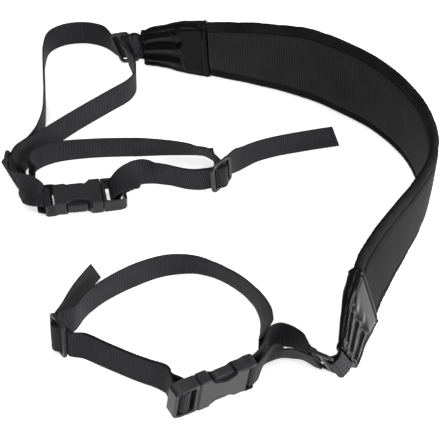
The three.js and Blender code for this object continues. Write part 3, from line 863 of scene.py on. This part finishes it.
def stitch_mesh():
    """The points and faces of one stitch, a metre long along X, to be scaled into place."""
    if "stitch" not in bpy.data.meshes:
        deselect()
        bpy.ops.mesh.primitive_uv_sphere_add(segments=8, ring_count=6, radius=0.5)
        ball = bpy.context.object
        bpy.ops.object.mode_set(mode="EDIT")
        bpy.ops.mesh.select_all(action="SELECT")
        bpy.ops.transform.rotate(
            value=math.pi / 2, orient_axis="Y", center_override=(0, 0, 0))
        bpy.ops.object.mode_set(mode="OBJECT")
        ball.data.name = "stitch"
        ball.data.use_fake_user = True
        bpy.data.objects.remove(ball)
    mesh = bpy.data.meshes["stitch"]
    return np.array([v.co for v in mesh.vertices]), [tuple(p.vertices) for p in mesh.polygons]


def sew(name, places, record_slot):
    """One piece that holds a stitch between each pair of points."""
    shape, shape_faces = stitch_mesh()
    points, faces = [], []
    for start, end in places:
        along_it = Vector(end - start)
        turn = np.array(along_it.to_track_quat("X", "Z").to_matrix())
        sized = shape * np.array([along_it.length + THREAD, THREAD, THREAD])
        base = len(points)
        points.extend(sized @ turn.T + (start + end) / 2)
        faces.extend(tuple(base + i for i in face) for face in shape_faces)
    obj = object_of(name, points, faces)
    take(obj)
    bpy.ops.object.shade_smooth()
    settle(obj, "thread", record_slot=record_slot)


# ---- webbing ----------------------------------------------------------------------------------
TACK_ROWS = (7 * MM, 15 * MM)   # distances of the sewn rows from a strap's end
TACK_SWING = 1.2 * MM           # how far their zigzag swings to each side
TACK_MARGIN = 3 * MM            # what the sewn rows leave free beside each edge


def webbing_section(h):
    """A flat band of half width h, with rounded selvedges and a shallow line beside each."""
    t = bpy.context.scene.strap_webbing.thick / 2
    edge = [(-h, 0.3 * t), (-h + 0.18 * MM, 0.68 * t), (-h + 0.6 * MM, 0.96 * t),
            (-h + 1.3 * MM, t), (-h + 1.9 * MM, 0.86 * t), (-h + 2.5 * MM, t)]
    middle = [(a, t) for a in np.linspace(-h + 6 * MM, h - 6 * MM, 5)]
    return mirrored(edge + middle + [(-a, o) for a, o in reversed(edge)])


# piece: its node, and the node nearest to its sewn end
STRAPS = {
    "far_tab_webbing": ("far_tab", "far_end_cap"),
    "near_tab_webbing": ("near_tab", "near_end_cap"),
    "far_length_webbing": ("far_length_strap", "far_joint_slide"),
    "far_leg_webbing": ("far_leg_strap", "far_buckle_socket"),
    "near_length_webbing": ("near_length_strap", "near_slide"),
    "near_leg_webbing": ("near_leg_strap", "near_buckle_socket"),
}


def middle_of(node):
    """The middle of a node's box."""
    low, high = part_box(node)
    return (Vector(low) + Vector(high)) / 2


class STRAP_OT_webbing(bpy.types.Operator):
    """Builds the webbing straps and tabs"""

    bl_idname = "strap.webbing"
    bl_label = "Webbing"

    def execute(self, context):
        for name, (node, nearest) in STRAPS.items():
            run = Run(node, BAND_CORNERS, middle_of(nearest), 1.8 * MM)
            strap = self.band(name, run)
            smooth(strap, 40)
            settle(strap, "webbing", node)
            if node.endswith("strap"):
                self.bartacks(f"{name}_stitches", run)
        return {"FINISHED"}

    def bartacks(self, name, run):
        """Two zigzag rows across the sewn end, on both faces."""
        s = bpy.context.scene.strap_webbing
        half = run.half[len(run.half) // 2] - TACK_MARGIN
        count = round(2 * half / s.stitch_length)
        places = []
        for face in (-1, 1):
            out = face * (s.thick / 2 + PROUD)
            for row in TACK_ROWS:
                corners = [run.at(row + (-1) ** k * TACK_SWING, (2 * k / count - 1) * half, out)
                           for k in range(count + 1)]
                places.extend(zip(corners, corners[1:]))
        sew(name, places, "webbing")

    def band(self, name, run):
        """The band, whose slanted end keeps the slant of its node."""
        rows = np.array(webbing_section(run.half[len(run.half) // 2]))
        rings = (run.centre[:, None] + rows[:, :1] * run.across[:, None]
                 + rows[:, 1:] * unit(run.out)[:, None])
        return loft(name, rings, run.run, [rows[:, 0]] * len(rings))


# ---- moulded fittings -------------------------------------------------------------------------
def moulded(name, node):
    """A node's shape with its flat faces made whole and its edges rounded."""
    s = bpy.context.scene.strap_fittings
    obj = bpy.data.objects.new(name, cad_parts[node].data.copy())
    bpy.context.collection.objects.link(obj)
    shell = bmesh.new()
    shell.from_mesh(obj.data)
    bmesh.ops.remove_doubles(shell, verts=shell.verts, dist=SAME_POINT)
    bmesh.ops.dissolve_limit(
        shell, angle_limit=math.radians(1), verts=shell.verts, edges=shell.edges)
    shell.to_mesh(obj.data)
    shell.free()
    rounding = obj.modifiers.new("rounding", "BEVEL")
    rounding.width = s.rounding
    rounding.segments = 2
    rounding.limit_method = "ANGLE"
    rounding.angle_limit = math.radians(28)
    apply_modifiers(obj)
    smooth(obj, 35)
    flatness = obj.modifiers.new("even faces", "WEIGHTED_NORMAL")
    flatness.keep_sharp = True
    apply_modifiers(obj)
    settle(obj, "plastic", node)


class STRAP_OT_slides(bpy.types.Operator):
    """Builds the three-bar slides"""

    bl_idname = "strap.slides"
    bl_label = "Slides"

    def execute(self, context):
        for node in ("far_slide", "far_joint_slide", "far_leg_slide", "near_slide",
                     "near_leg_slide"):
            moulded(f"{node}_moulding", node)
        return {"FINISHED"}


# The buckle's own lengths, from its middle.
SOCKET_END = 36.5 * MM
HALF_THICK = 6.5 * MM
SCALLOP_ALONG, SCALLOP_ACROSS = -7 * MM, 19 * MM
SCALLOP_HALF_LENGTH, SCALLOP_HALF_WIDTH = 12.7 * MM, 9.5 * MM
LIP_OFFSET = 0.7 * MM           # from the scallop's edge to the middle of its lip
LIP_START = 0.66                # in radians, where the lip clears the buckle's side
RIB_SIZE = (0.9 * MM, 0.35 * MM)        # width and height of a bead
LIP_SIZE = (0.8 * MM, 0.3 * MM)
# start, end, distance from the middle and height of the ribs on each side
SIDE_RIBS = (
    *((-34.5 * MM, -27 * MM, 17 * MM, h * MM) for h in (-3.6, -1.2, 1.2, 3.6)),
    *((-13 * MM, -2 * MM, 15.4 * MM, h * MM) for h in (-1.6, 1.6)),
    *((18 * MM, 30 * MM, 16.4 * MM, h * MM) for h in (-2.4, 0.6)),
)


class STRAP_OT_buckles(bpy.types.Operator):
    """Builds the side-release buckles"""

    bl_idname = "strap.buckles"
    bl_label = "Buckles"

    def execute(self, context):
        for side in ("far", "near"):
            socket, plug = f"{side}_buckle_socket", f"{side}_buckle_plug"
            moulded(f"{side}_socket", socket)
            moulded(f"{side}_plug", plug)
            x, y, z, points = square_axes(socket, middle_of(plug))
            low = (points @ x).min()
            origin = x * (low + SOCKET_END) + sum(
                axis * ((points @ axis).max() + (points @ axis).min()) / 2 for axis in (y, z))
            self.lines(f"{side}_buckle_lines", origin, np.array([x, y, z]))
        return {"FINISHED"}

    def lines(self, name, origin, axes):
        """Ribs of the strap blocks, ridges of the release tabs and rails, lips of the scallops."""
        beads = []
        for side in (-1, 1):
            out = side * axes[1]
            for start, end, level, height in SIDE_RIBS:
                places = np.linspace(start, end, 5)
                line = [origin + np.array([a, side * level, height]) @ axes for a in places]
                beads.append((line, out, *RIB_SIZE))
            for face in (-1, 1):
                turns = np.linspace(LIP_START, math.pi - LIP_START, 17)
                line = [origin + np.array([
                    SCALLOP_ALONG + (SCALLOP_HALF_LENGTH + LIP_OFFSET) * math.cos(t),
                    side * (SCALLOP_ACROSS - (SCALLOP_HALF_WIDTH + LIP_OFFSET) * math.sin(t)),
                    face * HALF_THICK]) @ axes for t in turns]
                beads.append((line, face * axes[2], *LIP_SIZE))
        add_beads(name, beads)


def square_axes(node, towards):
    """The directions of a moulding, along it, across it and out of its flat face.

    The first one points to the side on which a place lies.
    """
    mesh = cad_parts[node].data
    totals = {}
    for face in mesh.polygons:
        n = face.normal if tuple(face.normal) > (0, 0, 0) else -face.normal
        key = tuple(round(c, 2) for c in n)
        area, normals = totals.get(key, (0.0, Vector()))
        totals[key] = (area + face.area, normals + face.area * n)
    ranked = [v for _area, v in sorted(totals.values(), key=lambda t: -t[0])]
    z = ranked[0].normalized()
    y = next(v for v in ranked[1:] if abs(v.normalized().dot(z)) < 0.01)
    y = (y - z * y.dot(z)).normalized()
    x = y.cross(z)
    points = np.array([v.co for v in mesh.vertices])
    if np.ptp(points @ x) < np.ptp(points @ y):
        x, y = y, x
    if x.dot(Vector(towards) - Vector(points.mean(axis=0))) < 0:
        x = -x
    return np.array(x), np.array(y), np.array(z), points


def bead(points, normal, width, height):
    """The points and faces of a rounded bead that lies along a line on a face."""
    profile = [(-0.5, -0.4), (-0.42, 0.45), (-0.2, 0.9), (0.2, 0.9), (0.42, 0.45), (0.5, -0.4)]
    end_share = 0.55                # the bead narrows at both ends
    rings = []
    for i, point in enumerate(points):
        ahead = unit(points[min(i + 1, len(points) - 1)] - points[max(i - 1, 0)])
        aside = unit(np.cross(normal, ahead))
        share = end_share if i in (0, len(points) - 1) else 1.0
        rings.append([point + aside * a * width * share + normal * o * height * share
                      for a, o in profile])
    n = len(profile)
    faces = [(i * n + k, i * n + (k + 1) % n, (i + 1) * n + (k + 1) % n, (i + 1) * n + k)
             for i in range(len(points) - 1) for k in range(n)]
    faces += [tuple(range(n)), tuple((len(points) - 1) * n + k for k in reversed(range(n)))]
    return [p for ring in rings for p in ring], faces


def add_beads(name, beads):
    """One piece that holds moulded beads, each given by its line, normal, width and height."""
    points, faces = [], []
    for line in beads:
        base = len(points)
        some, rows = bead(*line)
        points.extend(some)
        faces.extend(tuple(base + i for i in row) for row in rows)
    obj = object_of(name, points, faces)
    face_outwards(obj)
    smooth(obj, 50)
    settle(obj, "plastic")


# ---- stage ------------------------------------------------------------------------------------
# the place that the camera and the lights point at: the middle of the strap as it lies
TARGET = Vector((0.00298, -0.01949, 0.00018))
FLOOR_SIZE = 14

# name, place in metres, width, height, watts
LIGHTS = (
    ("front_strip", (-0.3, -2.2, 0.75), 2.0, 0.3, 18.0),
    ("right_softbox", (1.9, -1.1, 0.9), 0.9, 0.9, 23.0),
    ("overhead_softbox", (-0.4, 0.5, 2.0), 0.8, 0.8, 7.0),
    ("high_strip", (-0.2, -1.2, 1.8), 1.6, 0.15, 14.0),
    ("near_fill", (0.5, -0.25, 0.25), 0.25, 0.25, 4.0),
)


class STRAP_OT_stage(bpy.types.Operator):
    """Builds the pale floor, the soft studio light and the camera"""

    bl_idname = "strap.stage"
    bl_label = "Stage"

    def execute(self, context):
        s = context.scene.strap_stage
        deselect()
        bpy.ops.mesh.primitive_plane_add(size=FLOOR_SIZE)
        floor = context.object
        floor.name = "floor"
        material, _tree, shader = start_material("pale_floor", Roughness=1, Specular_IOR_Level=0)
        shader.inputs["Base Color"].default_value = rgba(s.floor_colour)
        shader.inputs["Emission Color"].default_value = rgba(s.floor_colour)
        shader.inputs["Emission Strength"].default_value = s.floor_glow
        floor.data.materials.append(material)

        world = bpy.data.worlds.new("studio")
        context.scene.world = world
        world.use_nodes = True
        surround = world.node_tree.nodes["Background"]
        surround.inputs["Color"].default_value = (1, 1, 1, 1)
        surround.inputs["Strength"].default_value = s.sky_strength

        for name, place, width, height, watts in LIGHTS:
            light = bpy.data.lights.new(name, "AREA")
            light.shape = "RECTANGLE"
            light.size, light.size_y = width, height
            light.energy = watts
            lamp = bpy.data.objects.new(name, light)
            lamp.location = place
            lamp.rotation_euler = (TARGET - Vector(place)).to_track_quat("-Z", "Y").to_euler()
            context.collection.objects.link(lamp)

        data = bpy.data.cameras.new("camera")
        data.lens = s.lens
        data.sensor_width = 36
        data.clip_start, data.clip_end = 0.05, 50
        camera = bpy.data.objects.new("camera", data)
        back = Vector((0, -math.cos(s.camera_height), math.sin(s.camera_height)))
        camera.location = TARGET + back * s.camera_distance
        camera.rotation_euler = (-back).to_track_quat("-Z", "Y").to_euler()
        context.collection.objects.link(camera)
        context.scene.camera = camera
        context.scene.view_settings.view_transform = "Standard"
        return {"FINISHED"}


OPERATORS = (
    STRAP_OT_stage, STRAP_OT_pad, STRAP_OT_linings, STRAP_OT_caps, STRAP_OT_webbing,
    STRAP_OT_slides, STRAP_OT_buckles,
)


class STRAP_PT_panel(bpy.types.Panel):
    """Sidebar panel with the operators and settings of the strap"""

    bl_idname = "STRAP_PT_panel"
    bl_label = "Shoulder strap"
    bl_space_type = "VIEW_3D"
    bl_region_type = "UI"
    bl_category = "Shoulder strap"

    def draw(self, context):
        for operator in OPERATORS:
            self.layout.operator(operator.bl_idname)
        for name in SETTINGS:
            box = self.layout.box()
            group = getattr(context.scene, name)
            for prop in group.bl_rna.properties:
                if prop.identifier not in {"rna_type", "name"}:
                    box.prop(group, prop.identifier)


SETTINGS = {
    "strap_pad": PadSettings, "strap_webbing": WebbingSettings,
    "strap_fittings": FittingSettings, "strap_stage": StageSettings,
}
CLASSES = (*SETTINGS.values(), *OPERATORS, STRAP_PT_panel)


def register():
    for cls in CLASSES:
        bpy.utils.register_class(cls)
    for name, group in SETTINGS.items():
        setattr(bpy.types.Scene, name, PointerProperty(type=group))


def unregister():
    for name in SETTINGS:
        delattr(bpy.types.Scene, name)
    for cls in reversed(CLASSES):
        bpy.utils.unregister_class(cls)


def main():
    """Builds everything."""
    register()
    for operator in OPERATORS:
        group, name = operator.bl_idname.split(".")
        getattr(getattr(bpy.ops, group), name)()


if __name__ == "__main__":
    main()
